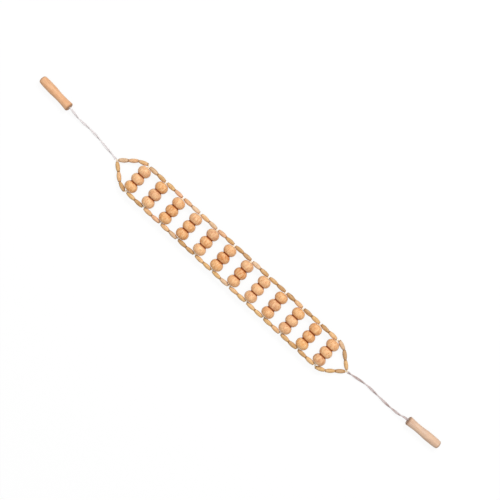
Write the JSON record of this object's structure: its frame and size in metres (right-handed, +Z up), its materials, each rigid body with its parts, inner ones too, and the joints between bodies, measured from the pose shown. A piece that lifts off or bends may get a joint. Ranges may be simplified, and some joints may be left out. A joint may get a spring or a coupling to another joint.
{
  "type": "wooden roller massager",
  "caption": "Flexible strap of bored wooden balls strung between rows of oval beads on white cord, with a turned wooden pull handle at each end, drawn across the back to massage it.",
  "frame": {"origin": "middle of the strap's length and width over both handles, on the surface that it lies on", "axes": "+X along the strap towards the right handle, +Y along the rows of balls, +Z up"},
  "size_m": [1.0021, 0.072, 0.0256],
  "materials": {
    "ball_wood": "satin",
    "bead_wood": "satin",
    "handle_wood": "satin",
    "cord": "matte"
  },
  "bodies": {
    "bay_01": {"bay_cords_01": "cord", "side_beads_01_front": "bead_wood", "side_beads_01_back": "bead_wood"},
    "bay_02": {"bay_cords_02": "cord", "side_beads_02_front": "bead_wood", "side_beads_02_back": "bead_wood"},
    "bay_03": {"bay_cords_03": "cord", "side_beads_03_front": "bead_wood", "side_beads_03_back": "bead_wood"},
    "bay_04": {"bay_cords_04": "cord", "side_beads_04_front": "bead_wood", "side_beads_04_back": "bead_wood"},
    "bay_05": {"bay_cords_05": "cord", "side_beads_05_front": "bead_wood", "side_beads_05_back": "bead_wood"},
    "bay_06": {"bay_cords_06": "cord", "side_beads_06_front": "bead_wood", "side_beads_06_back": "bead_wood"},
    "bay_07": {"bay_cords_07": "cord", "side_beads_07_front": "bead_wood", "side_beads_07_back": "bead_wood"},
    "bay_08": {"bay_cords_08": "cord", "side_beads_08_front": "bead_wood", "side_beads_08_back": "bead_wood"},
    "bay_09": {"bay_cords_09": "cord", "side_beads_09_front": "bead_wood", "side_beads_09_back": "bead_wood"},
    "bay_10": {"bay_cords_10": "cord", "side_beads_10_front": "bead_wood", "side_beads_10_back": "bead_wood"},
    "bay_11": {"bay_cords_11": "cord", "side_beads_11_front": "bead_wood", "side_beads_11_back": "bead_wood"},
    "row_01": {"roller_01": "ball_wood"},
    "row_02": {"roller_02": "ball_wood"},
    "row_03": {"roller_03": "ball_wood"},
    "row_04": {"roller_04": "ball_wood"},
    "row_05": {"roller_05": "ball_wood"},
    "row_06": {"roller_06": "ball_wood"},
    "row_07": {"roller_07": "ball_wood"},
    "row_08": {"roller_08": "ball_wood"},
    "row_09": {"roller_09": "ball_wood"},
    "row_10": {"roller_10": "ball_wood"},
    "row_11": {"roller_11": "ball_wood"},
    "row_12": {"roller_12": "ball_wood"},
    "end_left": {"end_cords_left": "cord", "end_beads_left_front": "bead_wood", "end_beads_left_back": "bead_wood", "tip_knot_left": "cord"},
    "lead_left": {"handle_cord_left": "cord", "stop_knot_left": "cord"},
    "grip_left": {"handle_left": "handle_wood"},
    "end_right": {"end_cords_right": "cord", "end_beads_right_front": "bead_wood", "end_beads_right_back": "bead_wood", "tip_knot_right": "cord"},
    "lead_right": {"handle_cord_right": "cord", "stop_knot_right": "cord"},
    "grip_right": {"handle_right": "handle_wood"}
  },
  "joints": [
    {"name": "bend_01", "type": "hinge", "parent": "bay_01", "child": "end_left", "pos_m": [-0.24359, 0, 0.0128], "axis": [0, -1, 0], "range_deg": [-40, 40]},
    {"name": "roll_01", "type": "hinge", "parent": "bay_01", "child": "row_01", "pos_m": [-0.24359, 0, 0.0128], "axis": [0, 1, 0], "continuous": true},
    {"name": "bend_02", "type": "hinge", "parent": "bay_02", "child": "bay_01", "pos_m": [-0.20059, 0, 0.0128], "axis": [0, -1, 0], "range_deg": [-40, 40]},
    {"name": "roll_02", "type": "hinge", "parent": "bay_02", "child": "row_02", "pos_m": [-0.20059, 0, 0.0128], "axis": [0, 1, 0], "continuous": true},
    {"name": "bend_03", "type": "hinge", "parent": "bay_03", "child": "bay_02", "pos_m": [-0.15759, 0, 0.0128], "axis": [0, -1, 0], "range_deg": [-40, 40]},
    {"name": "roll_03", "type": "hinge", "parent": "bay_03", "child": "row_03", "pos_m": [-0.15759, 0, 0.0128], "axis": [0, 1, 0], "continuous": true},
    {"name": "bend_04", "type": "hinge", "parent": "bay_04", "child": "bay_03", "pos_m": [-0.11459, 0, 0.0128], "axis": [0, -1, 0], "range_deg": [-40, 40]},
    {"name": "roll_04", "type": "hinge", "parent": "bay_04", "child": "row_04", "pos_m": [-0.11459, 0, 0.0128], "axis": [0, 1, 0], "continuous": true},
    {"name": "bend_05", "type": "hinge", "parent": "bay_05", "child": "bay_04", "pos_m": [-0.07159, 0, 0.0128], "axis": [0, -1, 0], "range_deg": [-40, 40]},
    {"name": "roll_05", "type": "hinge", "parent": "bay_05", "child": "row_05", "pos_m": [-0.07159, 0, 0.0128], "axis": [0, 1, 0], "continuous": true},
    {"name": "bend_06", "type": "hinge", "parent": "bay_06", "child": "bay_05", "pos_m": [-0.02859, 0, 0.0128], "axis": [0, -1, 0], "range_deg": [-40, 40]},
    {"name": "roll_06", "type": "hinge", "parent": "bay_06", "child": "row_06", "pos_m": [-0.02859, 0, 0.0128], "axis": [0, 1, 0], "continuous": true},
    {"name": "bend_07", "type": "hinge", "parent": "bay_06", "child": "bay_07", "pos_m": [0.01441, 0, 0.0128], "axis": [0, -1, 0], "range_deg": [-40, 40]},
    {"name": "roll_07", "type": "hinge", "parent": "bay_06", "child": "row_07", "pos_m": [0.01441, 0, 0.0128], "axis": [0, 1, 0], "continuous": true},
    {"name": "bend_08", "type": "hinge", "parent": "bay_07", "child": "bay_08", "pos_m": [0.05741, 0, 0.0128], "axis": [0, -1, 0], "range_deg": [-40, 40]},
    {"name": "roll_08", "type": "hinge", "parent": "bay_07", "child": "row_08", "pos_m": [0.05741, 0, 0.0128], "axis": [0, 1, 0], "continuous": true},
    {"name": "bend_09", "type": "hinge", "parent": "bay_08", "child": "bay_09", "pos_m": [0.10041, 0, 0.0128], "axis": [0, -1, 0], "range_deg": [-40, 40]},
    {"name": "roll_09", "type": "hinge", "parent": "bay_08", "child": "row_09", "pos_m": [0.10041, 0, 0.0128], "axis": [0, 1, 0], "continuous": true},
    {"name": "bend_10", "type": "hinge", "parent": "bay_09", "child": "bay_10", "pos_m": [0.14341, 0, 0.0128], "axis": [0, -1, 0], "range_deg": [-40, 40]},
    {"name": "roll_10", "type": "hinge", "parent": "bay_09", "child": "row_10", "pos_m": [0.14341, 0, 0.0128], "axis": [0, 1, 0], "continuous": true},
    {"name": "bend_11", "type": "hinge", "parent": "bay_10", "child": "bay_11", "pos_m": [0.18641, 0, 0.0128], "axis": [0, -1, 0], "range_deg": [-40, 40]},
    {"name": "roll_11", "type": "hinge", "parent": "bay_10", "child": "row_11", "pos_m": [0.18641, 0, 0.0128], "axis": [0, 1, 0], "continuous": true},
    {"name": "bend_12", "type": "hinge", "parent": "bay_11", "child": "end_right", "pos_m": [0.22941, 0, 0.0128], "axis": [0, -1, 0], "range_deg": [-40, 40]},
    {"name": "roll_12", "type": "hinge", "parent": "bay_11", "child": "row_12", "pos_m": [0.22941, 0, 0.0128], "axis": [0, 1, 0], "continuous": true},
    {"name": "swing_left", "type": "hinge", "parent": "end_left", "child": "lead_left", "pos_m": [-0.29778, 0, 0.0027], "axis": [0, 0, 1], "range_deg": [-45, 45]},
    {"name": "spin_left", "type": "hinge", "parent": "lead_left", "child": "grip_left", "pos_m": [-0.42698, 0.0122, 0.009], "axis": [-0.9976, 0.0698, 0], "continuous": true},
    {"name": "swing_right", "type": "hinge", "parent": "end_right", "child": "lead_right", "pos_m": [0.2836, 0, 0.0027], "axis": [0, 0, 1], "range_deg": [-45, 45]},
    {"name": "spin_right", "type": "hinge", "parent": "lead_right", "child": "grip_right", "pos_m": [0.4269, 0.0105, 0.009], "axis": [0.9986, 0.0523, 0], "continuous": true}
  ]
}
